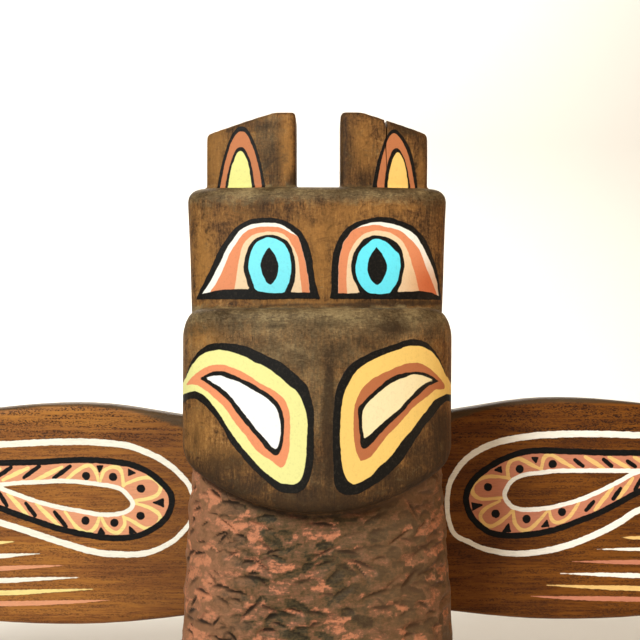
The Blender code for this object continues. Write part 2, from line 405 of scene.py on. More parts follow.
# %% Face outlines
BLACK_UNDER = """
196,299.6! 200,290 208,274 213,263.5 219,250 228,236.5 236,227 246,221 256,218.3 266,217.8
276,218.4 286,221.3 296,227.3 303,234.5 308.6,245.5 312,258 313.6,272 316,284.5 320,299! 300,298.6
270,299.4 230,299.2;
329.3,298.6! 331.3,290 331.2,275.5 331.8,262 334,250 337.7,241 343.2,231.8 350,225.5 359,221
369,218.8 378,216.8 388,217 398,220 408,223.6 416.8,229.5 425,239.2 429.5,248.2 433.6,259.5
437.3,271 439.3,284 441.5,299.9! 425,299.6 380,299 350,299;
176,398 177,388 183.3,382 187.2,371 191.7,361 197,352.8 203,347.8 209.4,344.4 217,343 225,343
235,344 246,346.4 255,350 265,355 275,359.4 284,364.4 293,372 300.6,379 307,385.6 310,394.4
313,405.6 314,419 313.8,441 314,452 313.3,463 311,474.4 308.3,482 304,489 297,492.8 289.4,493.3
280.6,491.7 272.8,487 264,479 255,471 247,463 241.7,455.6 235,448.3 229.4,441 225,432 220.6,424.4
214,415.6 206,406.7 200,401.7 195,399 188.3,399.4 181.3,403.5;
457,398 452.5,391 448.3,382 444.4,370 440.6,361 434,350 427.2,343.3 419.4,340 414,339 406,340
397.2,343.3 387.2,346.7 378.3,349.4 369.4,353.3 359.4,358.3 351.7,363.3 345,371 340.6,379 336.7,388
334.8,399 333.3,413.3 332.6,428 332.8,450 333.7,474.4 335.2,485.6 339.4,492.2 347.2,495.2 356,494.4
364,491 372.8,485.6 382.8,479 392.8,470 401.7,461 408.3,451 416,439 425,425.6 431.7,417.8 438.3,409
442.8,404 447.2,401 452,401.5;
215.5,196! 218.5,180 222,163 227,146 232,134.5 237,128 241,126.5 245.5,127.5 249.5,132 255.5,145
260,160 263,174 267,196!;
371.5,196! 373.5,180 377,163 382.5,146 386.5,136.5 390,131 394,129.5 398.5,131.5 404,138 410,149
414.5,165 418.5,196!
""".split(";")
WHITE = """
202,294! 207,287 211,280 217,269 221.4,260 226,250 232.3,240 240,230.5 248.6,225.5 258,223.4
268,222.8 278,223.5 286,227.3 293,232.3 297.3,236.4 300,242.7 303.6,255.5 306.4,268 308.6,282
310,294! 260,296;
338.2,294! 338.5,275.5 339,262 341,251 343.8,242.7 350,233.6 355.5,228.6 363,225 371,222.8 380,222
390,223.6 400,226.4 410,231 416.4,236.4 421,243.6 426,252.3 430,262.3 434,271.4 437,283
438.8,296.5! 390,296.5
""".split(";")
YELLOW = """
179.5,395.5 180.6,388 185,379 190,369 196,360 204,353.3 211.7,350.8 219.4,350.2 228.3,351 236,353.3
246,357.2 255,362.2 264,366 271.7,371 280.6,377.8 289.4,385.6 295.6,390.6 300.6,397.8 304.4,406.7
306.7,415.6 307.6,425.6 306.8,441 306,457.8 304.4,470 300.6,480 295,484 286,484 278.3,481.7
269.4,475.6 261.7,469.4 252.8,459.4 246,451.7 237.2,441 229.4,430 224,421 217.2,411 209.4,401
202.8,394.4 195,391 187.2,392.8
""".split(";")
# The right nostril's yellow: the left's paint, deeper and warmer as painted shade on the side turned
# from the light
SHADED_YELLOW = """
452.5,393.5 450,382 445.6,374.4 441.7,365.6 436,356.7 430.6,351 422.8,347.2 414,345.8 406,346.7
397.2,350 387.2,353.3 378.3,357.2 369.4,361.7 360.6,367.2 354,374.4 348.3,384.4 344.4,392.2
342.2,403.3 340.8,416.7 340.1,434 340.8,452 342.2,463.3 344.4,473.3 347.2,480 352.8,484.2
359.4,482.8 366,479 371.7,475.6 378.3,467.8 387.2,460 395,451 402.8,440 411.7,430 420.6,417.8
427.2,410 434,401 440.6,396.7 446,394.2
""".split(";")
SALMON = """
208,295! 212,289.3 216,283 221.4,272.7 225,264.5 228.6,255.5 233,248 239.5,238 247.7,230.5
258,227.2 268,226.3 277,227 285,229.5 292,233.5 297.3,236.4 300,242.7 303.6,255.5 306.4,268
308.6,282 310,295! 260,296;
338.2,294! 338.5,275.5 339,262 341,251 343.8,242.7 350,233.6 355.5,228.6 363,226.5 371,225.2
378,225 385,226.4 394.5,229 402,232 410,239 416.4,245.5 420.5,252 424,261 427.7,271 432.3,282
437.5,296! 390,296.5;
186,385.6! 189.4,380 196,373.3 204,368.3 212.8,365.3 222.8,364.7 230.6,367.2 241.7,371.3
250.6,376.7 259.4,382.8 269.4,388.3 277,393 284,399 287,405.6 289.4,413.3 290,424.4 289.8,441
289,452 286,462 281.7,467.6 276,465 270.6,460 259.4,453 251.7,444.4 244,433.3 236,424.4 229.4,414.4
222.8,405.6 214,397.8 206,390.6 198.3,385.6 191.7,384.4
""".split(";")
EAR_SALMON = """
218.5,196! 221.5,180 225,163 229.5,147 234,137.5 238,132.6 241,131.6 245,132.6 249,138.5 253.5,149
257.5,162 260.6,176 263,196!;
376,196! 377.8,180 380.5,164 385,148 388.5,138.5 391.5,134.2 394,133.2 398,135.6 403,143 407.5,153
411.5,168 416,196!
""".split(";")
# The right nostril's salmon ring: the left's salmon, darker as painted shade
SHADED_SALMON = """
444.4,388.3 443.9,383.3 439.4,377.8 432.8,371 425,365.6 419.4,363 409.4,363 400.6,365.6 391.7,369.4
380.6,374.4 371.7,379.4 365,385.6 359.4,393.3 356,401 354,410 353.7,427 354.4,442 356.7,452
360.6,461! 369.4,457.8 375,452 380.6,444.4 387.2,435.6 394,429 400.6,422 407.2,414.4 414,406.7
421.7,401 428.3,395.6 435,390 440.6,389.4
""".split(";")
PEACH = """
233.5,296! 234.5,288.3 236,280 237.7,268 239.5,258 241.4,249 246,241 252,235.6 260.5,232.5
270,231.7 280,232.8 286,236 291.4,243.6 296.4,253 299,263.6 300,275.5 302.6,296!;
347,296.5! 346.8,290 346.5,275.5 347.7,262 349.6,252.7 355,242.7 361,236.4 367.3,232.3 376.4,230.5
385.5,231.4 393.6,234.5 401.8,241 406.4,248.2 410,257.3 413.2,268.2 416.4,278.6 420,296.5!
""".split(";")
BLACK_OVER = """
243.6,268 246.4,252 252.3,241.4 260,236.5 270,234.7 280,237 289.5,243.6 294,255.5 295.5,268 295,279
290.5,292 284,297 257,297 250,289 246,279;
351,267 353,255.5 358.2,246 363.6,239.5 371,236 377.7,235.3 388,237.7 395.5,241.8 400.5,247.3
403.2,255.5 404.4,265.5 402.7,276.4 400.5,284.5 396.4,293 390,298 367,298 360,292.5 357,286.3
353,278;
198.5,299.4! 202,294! 212,291.5 223,289.8 240,289 250,289.5 260,291.8 290,292.2 311,292.5!
320,299.2! 300,298.6 270,299.4 230,299.2;
334,298.8! 334,293.2! 370,293.2 396,292.8 400,292 418,291 430,292.5 438.5,295.8! 441,299.9!
425,299.6 380,299 350,299;
198.3,378.3! 205,375.6 211.7,372 218.3,371 224,371.7 232.8,374.7 241.7,379 251.7,383.3 260.6,389
269.4,394.4 276,400 280.6,406.7 283.3,415.6 284.4,425 282.8,443.3 279.4,453.3 275.6,455.8
270.6,452.8 265,447.8 259.4,440 251.7,431 244,422 236,412 230.6,403.3 222.8,395.6 214,388.3
206,382.8 200.6,379.6;
439.6,381.7! 431.7,376 422.8,372.2 414,372 405,372.8 396,375 387.2,380 379.4,386.7 370.6,394.4
362.8,402.2 358.3,407.8 358,416.7 359.4,430 360,441 361,447.2 364.4,449 369.4,446 375,440
381.7,432.2 389.4,424.4 397.2,416.7 405,409.4 410.6,402.2 419.4,394.4 427.2,386.7 435,383;
224,196! 226.4,180 229,168 232.5,157 236.5,149 240,147 244,148.5 248.5,156 252,168 256.5,196!;
383.6,196! 384.8,180 386.5,168 389.3,158 392.5,150.5 396,148.3 400,150.5 404.5,159 408,172 412,196!
""".split(";")
CLEAN_WHITE = """
205.6,378.3! 212.8,376 220.6,375.8 229.4,379 239.4,382.4 248.3,387.2 257.2,392.2 265,396.7
270.6,401.7 276,407.8 279,415.6 280.6,424.4 280.6,433.3 279.4,442 277.2,448.3 275,449.4! 270.6,446
264,437.8 256,429 249.4,420 240.6,409 232.8,399 224,390 215,384
""".split(";")
# The right nostril's white: the left's, warmer and darker as painted shade
SHADED_WHITE = """
434.6,380.6! 428.3,377.8 420.6,375 411.7,374.7 404,377.8 395,381 387.2,386 379.4,392.2 370.6,400
365,406.7 362.6,412.2 362.2,421 362.8,430 364,439! 369.4,435 376,429 385,421 392.8,414.4
400.6,407.8 407.2,400 414,393.3 421.7,385.6 429.4,381.7
""".split(";")
EAR_YELLOW = """
226.5,196! 229,180 231.5,168 234.5,159 237.5,152.8 240.5,151 243.5,152.8 247,160 249.5,170 253,196!
""".split(";")
# The right ear's yellow: the left ear's, deeper and warmer as painted shade on the face turned
# outward
EAR_SHADED_YELLOW = """
387,196! 388.4,178 390.5,167 393,158.5 395.5,153.8 397.7,152.3 400.3,154 404,162 406.6,173
409.5,196!
""".split(";")
BLUE = """
248.6,265.5 250,254 254,245.5 260,240.3 268.6,237.3 279,240.3 285,245.5 289.5,254.5 291,266.4
290,278 286,289 281,293 258,291 253,283 250,275.5
""".split(";")
DEEP_BLUE = """
355.5,269 357.7,256.4 361.4,249 367.3,243.6 372.7,239.5 379.5,239 387.7,243.2 393.6,249 398.6,254
400.5,264 399.5,272 397.3,281.8 391.8,290 388,293.2 370,293.2 362.3,286.8 357.7,279.5
""".split(";")
PUPIL = """
268.6,246.8! 274,253.5 277.5,261 278.6,268 277,276 274,281.5 270.5,285! 266,281 262,273.5 260.6,264
262.5,257 265.5,251.5;
376.6,246.4! 382,254 386,261 387.3,268 385,275.5 381.5,281.5 377.5,285.5! 372,281 368.3,274
367.3,268 368.5,260 372,253
""".split(";")
FACE_COATS = dict(
    under_black=BLACK_UNDER, white=WHITE, yellow=YELLOW, shaded_yellow=SHADED_YELLOW, salmon=SALMON,
    ear_salmon=EAR_SALMON, shaded_salmon=SHADED_SALMON, peach=PEACH, over_black=BLACK_OVER,
    clean_white=CLEAN_WHITE, cream=SHADED_WHITE, ear_yellow=EAR_YELLOW, ear_shaded_yellow=EAR_SHADED_YELLOW, blue=BLUE,
    deep_blue=DEEP_BLUE, pupil=PUPIL)
print("outlines drawn:", sum(len(outlines) for outlines in FACE_COATS.values()))

# %% [markdown]
# ## Paint on a curved face
# Straight along the line of sight the paint would run on over the cheeks in streaks. Where the wood
# turns away, the place on the picture is therefore unrolled sideways, so that each outline closes
# round the corner as a brush would have closed it.

# %% Picture places, unrolled round the cheeks
CHEEK_TURN = -0.011
BROW_TURN = 0.004
PIXEL_HERE = 0.44 * MM
PAINT_MARGIN = 3.5
PAINT_BACK = 0.012


def unrolled(points):
    """Where points are painted on the picture, with the cheeks and brow sides unrolled."""
    page = on_picture(points)
    turn = np.where(points[:, 2] < MUZZLE_TOP, CHEEK_TURN, BROW_TURN)
    beyond = np.maximum(0, points[:, 1] - turn) / PIXEL_HERE
    page[:, 0] += np.sign(points[:, 0]) * beyond
    return page


def pixel_size(points):
    """How many millimetres one pixel of the picture is, at each point."""
    return (points[:, 1] - EYE[1]) / FOCAL / MM


def half_space(height_over):
    """A distance in pixels that grows with height, to keep a shape on its own block."""
    return height_over / PIXEL_HERE


spots = places(pole)
page = unrolled(spots)
painted = all_of([filled(page, text) for text in BLACK_UNDER]) < PAINT_MARGIN
divide_where(pole, painted & (spots[:, 1] < PAINT_BACK))

cutter = crack_cutter()
cut = pole.modifiers.new("crack", "BOOLEAN")
cut.operation = "DIFFERENCE"
cut.solver = "EXACT"
cut.object = cutter
bake(pole)
bpy.data.objects.remove(cutter)
print("pole after the crack:", len(pole.data.polygons), "faces")

# %% [markdown]
# ## Keeping the distances on the mesh
# Each coat becomes one number at each point of the mesh, in millimetres. The eyes belong to the brow
# block, the nostrils to the muzzle and the ear marks to the ears, so each is held to its block.

# %% Face coats
EARS_ABOVE, EYES_ABOVE = 200, 300
EARS_FROM = BROW_TOP - 0.1 * MM
BROW_FROM = MUZZLE_TOP + 0.3 * MM
EAR_FRONT = -0.002


def keep(piece, name, values):
    """Keeps one number at each point of the mesh, under a name that a material can read."""
    field = piece.data.attributes.new(name, "FLOAT", "POINT")
    field.data.foreach_set("value", np.asarray(values, np.float32))


spots = places(pole)
page = unrolled(spots)
size = pixel_size(spots)
above_brow = half_space(EARS_FROM - spots[:, 2])
above_muzzle = half_space(BROW_FROM - spots[:, 2])
front_only = half_space(spots[:, 1] - PAINT_BACK)
ear_front = half_space(spots[:, 1] - EAR_FRONT)


def face_coat(outlines):
    """The distance to one coat's outlines, each held to its own block and to the front."""
    shapes = []
    for text in outlines:
        shape = np.maximum(filled(page, text), front_only)
        highest = min(float(word.rstrip("!").split(",")[1]) for word in text.split())
        if highest < EARS_ABOVE:
            shape = np.maximum(np.maximum(shape, above_brow), ear_front)
        elif highest < EYES_ABOVE:
            shape = np.maximum(shape, above_muzzle)
        shapes.append(shape)
    return all_of(shapes)


for name, outlines in FACE_COATS.items():
    keep(pole, name, face_coat(outlines) * size)
print("coats on the face:", len(FACE_COATS))

# %% [markdown]
# ## What the wood's stain and painted shade need to know
# The same goes for the wood. Each point of the breast keeps its chip's depth, tone and ledge, with
# the first two fading towards the back, how well the brush was loaded there, most on the left, and
# how near it lies under the muzzle's edge, where the muzzle's shadow is painted. The head keeps how
# near its lower lip, its ears' arrises and its rubbed upper edges are. The arrises take painted
# shade, and the upper edges a painted sheen as well as their wear.

# %% Fields for the wood
FADE_NEAR, FADE_FAR, FADED = -0.010, 0.016, 0.35
LOADED_FROM, LOADED_TO = -0.015, -0.050
SHADOW_HIGH, LIP_HIGH = 4.5, 9.0
ARRIS_FLAT, ARRIS_SPAN, ARRIS_FROM = 0.97, 0.12, BROW_TOP + 1.5 * MM
UPPER_EDGES = (MUZZLE_TOP, BROW_TOP)
UPPER_BAND_MIDDLE, UPPER_BAND_HALF, UPPER_BAND_OVER = 2.0, 7.5, -1.0

ways = facings(pole)
over_edge = (muzzle_edge(spots[:, 0]) - spots[:, 2]) / MM
past_back = np.clip((BACK_FACE - spots[:, 1]) / MM, 0, 1)
hollow, facet, crevice = np.zeros(len(spots)), np.full(len(spots), 0.5), np.zeros(len(spots))
for number in np.flatnonzero(over_edge > 0):
    _, source, _ = chips.find(spots[number])
    hollow[number] = depth[source] / CHIP_DEEP[1]
    facet[number] = tone[source]
    crevice[number] = ledge[source]
in_front = np.clip((FADE_FAR - spots[:, 1]) / (FADE_FAR - FADE_NEAR), FADED, 1)
flatness = np.abs(ways).max(axis=1)
worn_and_sheen = np.zeros(len(spots))
# The upper edges: rubbed grey by wear, with a painted sheen where they turn up to the light
for edge in UPPER_EDGES:
    below = (edge - spots[:, 2]) / MM
    upper_band = np.clip(1 - np.abs(below - UPPER_BAND_MIDDLE) / UPPER_BAND_HALF, 0, 1)
    worn_and_sheen = np.maximum(worn_and_sheen, upper_band * (below > UPPER_BAND_OVER))
for name, values in (
        ("breast", np.clip(over_edge - 0.2, 0, 1) * past_back),
        ("hollow", hollow * in_front),
        ("facet", 0.5 + (facet - 0.5) * in_front),
        ("crevice", crevice),
        ("loaded", np.clip((spots[:, 0] - LOADED_FROM) / (LOADED_TO - LOADED_FROM), 0, 1)),
        # The muzzle's painted shadow on the breast, darkest just under its edge
        ("painted_shadow_under_muzzle", np.clip(1 - (over_edge - 0.5) / SHADOW_HIGH, 0, 1) * (over_edge > 0)),
        ("lip", np.clip(1 + over_edge / LIP_HIGH, 0, 1) * (over_edge <= 0)),
        # The ears' rounded arrises, where shade is painted
        ("arris", np.clip((ARRIS_FLAT - flatness) / ARRIS_SPAN, 0, 1)
         * (spots[:, 2] > ARRIS_FROM)),
        ("worn_and_sheen", worn_and_sheen * (ways[:, 1] < 0.5))):
    keep(pole, name, values)
print("points under the muzzle's edge:", int((over_edge > 0).sum()))

# %% [markdown]
# ## Uneven stain, and some painted shade
# The stain was rubbed in by hand, so it is nearly black in some places and has left the warm wood
# bare in others. A few patches are painted light and shade instead: one dark patch down the side
# of the muzzle's ridge that turns from the light, and the grey band along the brow's top edge, its
# sheen. Each patch is a soft oval, given by its middle, half its width and height, and how
# strong it is, and a brush of noise in the material breaks up its edge.

# %% Stain patches
DARK_STAIN_AND_SHADE = (
    # The first patch is painted shade, down the side of the muzzle's ridge turned from the light
    (329, 430, 7, 66, 1.0), (318, 472, 8, 30, 0.5), (318, 500, 50, 14, 1.0),
    (250, 482, 45, 12, 0.55), (400, 478, 40, 14, 0.8), (302, 360, 22, 14, 0.45),
    (335, 352, 20, 16, 0.45), (326, 323, 22, 5, 0.6), (247, 323, 26, 5, 0.45),
    (392, 327, 24, 8, 0.8), (322, 385, 14, 26, 0.3), (266, 345, 18, 10, 0.4),
    (368, 343, 14, 12, 0.5), (200, 329, 26, 7, 0.4), (440, 440, 14, 36, 0.75),
    (432, 335, 14, 22, 0.35), (258, 206, 26, 12, 0.5), (432, 203, 14, 14, 0.45),
    (436, 262, 8, 60, 0.08), (191, 240, 6, 60, 0.1), (272, 165, 12, 30, 0.5),
    (260, 125, 22, 7, 0.6), (346, 150, 9, 44, 0.5), (358, 160, 12, 26, 0.3),
    (364, 178, 12, 12, 0.55), (402, 128, 16, 10, 0.6), (420, 145, 8, 20, 0.25),
    (420, 455, 16, 24, 0.7), (300, 305, 60, 2, 0.5), (402, 303, 46, 3, 1.0),
    (215, 205, 26, 7, 0.35), (200, 320, 16, 6, 0.3), (290, 184, 5, 12, 0.5),
    (345, 305.6, 85, 1.2, 1.0), (294, 179, 2.5, 8, 1.0), (342, 179, 2.5, 8, 1.0),
    (222, 466, 34, 16, 0.65), (245, 488, 36, 12, 0.6), (196, 440, 6, 20, 0.4),
    (275, 325, 12, 3, 0.8), (345, 320, 14, 3, 0.8), (412, 318, 18, 4, 0.8), (226, 326, 10, 4, 0.5),
)
WARM_STAIN = (
    (205, 262, 9, 34, 0.8), (320, 232, 26, 16, 0.7), (236, 214, 26, 12, 0.4),
    (214, 150, 9, 36, 1.0), (286, 150, 7, 30, 1.0), (363, 145, 9, 26, 0.7), (421, 170, 5, 18, 0.7),
    (310, 303, 70, 3, 0.7), (205, 336, 16, 14, 0.8), (200, 432, 16, 28, 0.5),
    (319, 265, 12, 30, 0.8), (380, 208, 40, 8, 0.5), (345, 212, 26, 12, 0.6),
    (222, 458, 24, 12, 0.5), (295, 505, 40, 8, 0.3), (385, 510, 30, 8, 0.3),
)
GREY_STAIN_AND_SHEEN = (
    (320, 326, 130, 16, 0.9), (300, 352, 90, 22, 0.75), (322, 400, 30, 60, 0.6),
    # In this row, the long thin band along the brow's top edge is a painted sheen
    (320, 480, 30, 20, 0.4), (310, 192, 120, 7, 0.6), (268, 150, 14, 36, 0.5),
)
# The outer end of the right eyelid, where the paint is darker and warmer
DARKER_LID_END = ((430, 284, 20, 20, 1.0),)
OVAL_FADE = 0.8
FRONT_STAIN_BACK = 0.02


def soft_ovals(ovals):
    """The strongest of the ovals at each point, fading from the middle outward."""
    total = np.zeros(len(page))
    for x, y, half_wide, half_high, strength in ovals:
        away = ((page[:, 0] - x) / half_wide) ** 2 + ((page[:, 1] - y) / half_high) ** 2
        total = np.maximum(total, strength * np.exp(-away * OVAL_FADE))
    return total * (spots[:, 1] < FRONT_STAIN_BACK)


for name, ovals in (("dark_stain_and_shade", DARK_STAIN_AND_SHADE), ("warm_stain", WARM_STAIN),
                    ("grey_stain_and_sheen", GREY_STAIN_AND_SHEEN), ("darker_lid_end", DARKER_LID_END)):
    keep(pole, name, soft_ovals(ovals))
    print(name, "patches:", len(ovals))

# %% [markdown]
# ## The wings
# Two thin boards of an open-pored, reddish wood, stained and oiled, with their grain running out to
# the tips. Each carries a long drop-shaped feather mark in a white line. What the picture's edge
# cuts off runs on here to a point, and the small strokes inside it go on and get shorter.

# %% Left wing marks
LEFT_WHITE_LINE = """
-200,464! -150,453 -100,447.5 -50,445.5 0,444.5 40,442.5 80,441.7 110,443.4 130,446.3 150,454
165,462 180,474.5 190,487 195,505 191,521 180,535 170,543 155,550.5 140,554 120,554.3 95,552 60,542
30,532 0,522.5 -50,507 -100,492 -150,477"""
LEFT_BLACK_LINE = """
-100,471! -60,465.5 -30,463.5 0,463 40,462 75,460 100,460.5 120,462.5 135,466 150,473 163,484
171,495 171,507.5 165,519 155,527.5 140,535 120,538 100,537 80,533.5 60,529 40,522.5 20,515.5 0,508
-30,497.5 -60,486.5"""
LEFT_INNER_LINE = """
-6,485.5! 20,482.8 40,482 60,481 80,482 100,484.5 113,486.5 122,490 130,498 132.8,504 129,510
118,514 100,514.5 85,512 60,507.5 40,502.5 20,495.7"""
LEFT_DOTS = ((86, 476), (113, 477), (141, 488.7), (140.6, 516), (114.4, 522.8), (85.6, 520.6))
LEFT_WEDGES = """
97,466! 102.5,466! 99.5,472!; 128.5,469! 135,473! 128.5,475.5!; 153.5,502.5! 163,499! 163.5,506.5!;
129.5,527! 129.5,533! 136.5,532.5!; 101,528! 98,533.5! 104.5,533.5!
""".split(";")
LEFT_SCALLOPS = """
66,480 78,470 88,465.5 95,470 98.5,481;
100.5,481 104,471 113,467 121,470.5 123.5,486;
123,485.5 138,479 152,478 160.5,486 157,495 146,499 134,500.5;
134.5,503 150,508 160,516 156.5,525 146,528.5 133,521.5 123,516.5;
123.5,516 124.5,525 117,533 107,527.5 101,516.5;
99.5,516 95.5,527 87,532.5 76,526.5 65,511.5
""".split(";")
LEFT_YELLOW_BARS = """
32,482 62,467; 3,480 28,468; -26,482 0,469; -52,479 -32,471; 36,503.5 60,527; 8,494 28,516; -22,489
-2,504; -50,479 -34,492
""".split(";")
LEFT_BLACK_BARS = """
54,478 70,466.5; 24,477.5 39,466.5; -3,477 11,467.5; -37,477 -24,469; 54.5,512 66,526.5; 26,503.5
35,515.5; -1,493 7,505.5; -30,487 -20,495
""".split(";")
LEFT_TOP_EDGE = """
-260,450 -150,424 -60,411 0,407 40,403.5 90,402 130,404.6 160,409.5 190,416"""
# The grey top edge is wear; where it widens towards the pole it paints the head's shadow
LEFT_EDGE_WIDTHS = (4, 5, 7, 8, 8, 9, 13, 22, 28)
LEFT_FEATHERS = (
    ("cream", "40,553.7 20,554.8 0,556 -60,557.5 -130,556"),
    ("yellow", "16,541.5 -10,543 -60,543.5 -120,539"),
    ("salmon", "64,565.5 30,567 -20,569.5 -90,570"), ("cream", "80,577.5 40,579 -10,581 -80,582"),
    ("yellow", "97,589 50,591 0,593 -60,593.5"), ("salmon", "112,600 70,602 20,603.5 -30,604"),
)

# %% Right wing marks
RIGHT_WHITE_LINE = """
840,456! 790,445 740,438.5 690,436 640,435.3 600,434 560,434.3 530,436.3 500,441.6 480,449.7
465,460 455,473 449,486 447,505 449,521 455,534.5 470,542.7 485,549 505,553 525,553.5 550,550
575,543 600,532.5 620,522 640,510 690,496 740,484 790,471"""
RIGHT_BLACK_LINE = """
740,462! 700,456.5 670,454 640,453 600,452.5 560,451 540,450.6 520,453 500,460.7 485,470 473,481
466.3,495 467.5,507.5 474,520 487,531 500,534.8 517,535.6 540,533 560,528 580,520.5 600,512.5
620,502 640,491.3 670,480 700,471"""
RIGHT_INNER_LINE = """
640,471! 620,470.7 600,470.6 560,470.8 540,472.8 525,474.7 512,480.6 505,492 506,500 513,507
525,509.7 545,508.4 560,505.3 580,499.7 600,491.2 620,481 632,474.3"""
RIGHT_DOTS = ((552.5, 464), (519.6, 469), (488, 487), (495.6, 513.8), (526.6, 519), (562, 512))
RIGHT_WEDGES = """
532,457.5! 538,457.5! 536,462.5!; 495,470! 501,466.5! 501.5,472.5!; 472,503! 482,505! 473,510!;
508.5,524! 503,531.5! 510.5,531.5!; 547,520.5! 542,526.5! 548.5,526!
""".split(";")
RIGHT_SCALLOPS = """
577,470 562,461 551,455 544,458 541.5,469.5;
541.5,469.5 530,464 520,459 511,461 507.5,469 509,479;
510,478.5 497,476.5 484,477.5 474,484 473,493 482,499 504,497.5;
500,501 487,507.5 480.5,515 483,522 491,526.5 503,519.5 513,510.5;
513.5,510.5 515,523 523,530.5 533,526.5 548,510.5;
549,509.5 552,519.5 559,522.5 570,516 580,500.5
""".split(";")
RIGHT_YELLOW_BARS = """
585,456.5 604,468.5; 609,457 629,468.5; 634,457 652,467; 664,459 680,468; 613,487 595,510; 633,478
618,499; 662,473 645,486; 688,467.5 674,476.5
""".split(";")
RIGHT_BLACK_BARS = """
575,460 583,466; 603.5,459.5 611.5,466; 627.5,461 635,466.5; 652,459.5 660,465; 593.6,501.4
586.2,510.2; 620.6,488.4 613.4,498.8; 641,479 635,490; 671,471.5 660,477.5
""".split(";")
RIGHT_TOP_EDGE = """
448,409 480,401.5 510,399 550,398 600,399 640,400.5 700,406 790,420 900,450"""
# The grey top edge is wear; where it widens towards the pole it paints the head's shadow
RIGHT_EDGE_WIDTHS = (26, 19, 13, 9, 8, 8, 7, 5, 4)
RIGHT_FEATHERS = (
    ("yellow", "621,537.3 640,537.8 700,536 760,531"),
    ("cream", "597,549.3 640,549.2 710,549 770,548"),
    ("salmon", "572,561.5 610,562 660,562.5 740,563"),
    ("cream", "560,573.5 600,574.5 650,576 720,577"),
    ("yellow", "543,585 590,587 640,588.5 700,589"), ("salmon", "528,596 570,598 620,599 670,599.5"),
)
print("dots and wedges on a wing:", len(LEFT_DOTS) + len(LEFT_WEDGES))

# %% [markdown]
# ## Brush strokes on the boards
# Each board's marks are strokes with their own widths in picture pixels: thin where the brush was
# set down and lifted, fuller between. The boards are divided twice along the marks' edges, because
# the strokes are fine, and each colour is again kept as one distance.

# %% Wing skins
WING_VOXEL = 1.5 * MM
WING_FRONT = 0.046
FINE_DEEP, PAINT_DEEP = 0.5 * MM, 1.5 * MM
LINE_WIDTHS = {"white": (6.0, 6.4, 6.6, 6.0, 4.4, 5.2, 6.4, 6.4, 6.0), "black": (6.2,),
               "inner": (4.4,), "scallop": (2.6, 4.0, 3.6, 4.0, 2.6), "bar": (3.0, 4.6, 3.2),
               "dash": (3.6, 4.6, 4.0), "feather": (0.2, 2.8, 4.8, 5.0, 3.6)}
WEDGE_SWELL = 0.8
DOT_HALF = 4.2
FINE_WITHIN = 1.25
EDGE_SOFTNESS = 2.5
DARK_NEAR, DARK_FAR = 0.068, 0.112
OPEN_BELOW, OPEN_SPAN, CLOSED_GRAIN = 452, 14, 0.6
LEFT_MARKS = (LEFT_WHITE_LINE, LEFT_BLACK_LINE, LEFT_INNER_LINE, LEFT_DOTS, LEFT_WEDGES,
              LEFT_SCALLOPS, LEFT_YELLOW_BARS, LEFT_BLACK_BARS, LEFT_FEATHERS)
RIGHT_MARKS = (RIGHT_WHITE_LINE, RIGHT_BLACK_LINE, RIGHT_INNER_LINE, RIGHT_DOTS, RIGHT_WEDGES,
               RIGHT_SCALLOPS, RIGHT_YELLOW_BARS, RIGHT_BLACK_BARS, RIGHT_FEATHERS)


def wing_coats(points, marks):
    """The distance to each colour's marks on a wing's front, in millimetres."""
    outer, black, inner, dots, wedges, scallops, yellow_bars, black_bars, feathers = marks
    page = on_picture(points)

    def strokes(kind, *lines, closed=False):
        return [stroked(page, text, LINE_WIDTHS[kind], closed) for text in lines]

    by_colour = {
        "salmon": [np.maximum(filled(page, black), -filled(page, inner))],
        "yellow": strokes("scallop", *scallops) + strokes("bar", *yellow_bars),
        "cream": strokes("white", outer, closed=True) + strokes("inner", inner, closed=True),
        "black": [np.hypot(*(page - np.array(dot)).T) - DOT_HALF for dot in dots]
        + [filled(page, text) - WEDGE_SWELL for text in wedges]
        + strokes("dash", *black_bars) + strokes("black", black, closed=True)}
    for colour, text in feathers:
        by_colour[colour] += strokes("feather", text)
    behind = (points[:, 1] - WING_FRONT - PAINT_DEEP) / MM
    size = pixel_size(points)
    return {name: np.maximum(all_of(shapes) * size, behind) for name, shapes in by_colour.items()}


def skin_wing(node, name, marks, top_edge, edge_widths):
    """A board's finer skin, with its marks, open-grained places and grey, worn top edge kept on it.
    Near the pole the grey widens into the head's painted shadow.
    """
    wing = dense_copy(node, name, WING_VOXEL, 2)
    for _ in range(2):
        points = places(wing)
        coats = wing_coats(points, marks)
        close = all_of([np.abs(distance) for distance in coats.values()]) < FINE_WITHIN
        divide_where(wing, close & (points[:, 1] < WING_FRONT + FINE_DEEP))
    points = places(wing)
    for coat, distance in wing_coats(points, marks).items():
        keep(wing, coat, distance)
    page = on_picture(points)
    edge = stroked(page, top_edge, edge_widths)
    from_middle = np.abs(points[:, 0])
    # The grey top edge: wear, and near the pole the head's painted shadow
    keep(wing, "arris", np.clip(0.5 - edge / EDGE_SOFTNESS, 0, 1))
    keep(wing, "open_grain", np.clip((OPEN_BELOW - page[:, 1]) / OPEN_SPAN, CLOSED_GRAIN, 1))
    keep(wing, "near_pole", np.clip((DARK_FAR - from_middle) / (DARK_FAR - DARK_NEAR), 0, 1))
    return wing


wing_left = skin_wing("wing_left", "left_wing_board", LEFT_MARKS, LEFT_TOP_EDGE, LEFT_EDGE_WIDTHS)
wing_right = skin_wing("wing_right", "right_wing_board", RIGHT_MARKS, RIGHT_TOP_EDGE,
                       RIGHT_EDGE_WIDTHS)

# %% [markdown]
# ## Riding and replacing
# The pole has no joints, so every piece rides on the one body, and the solid under it is hidden.

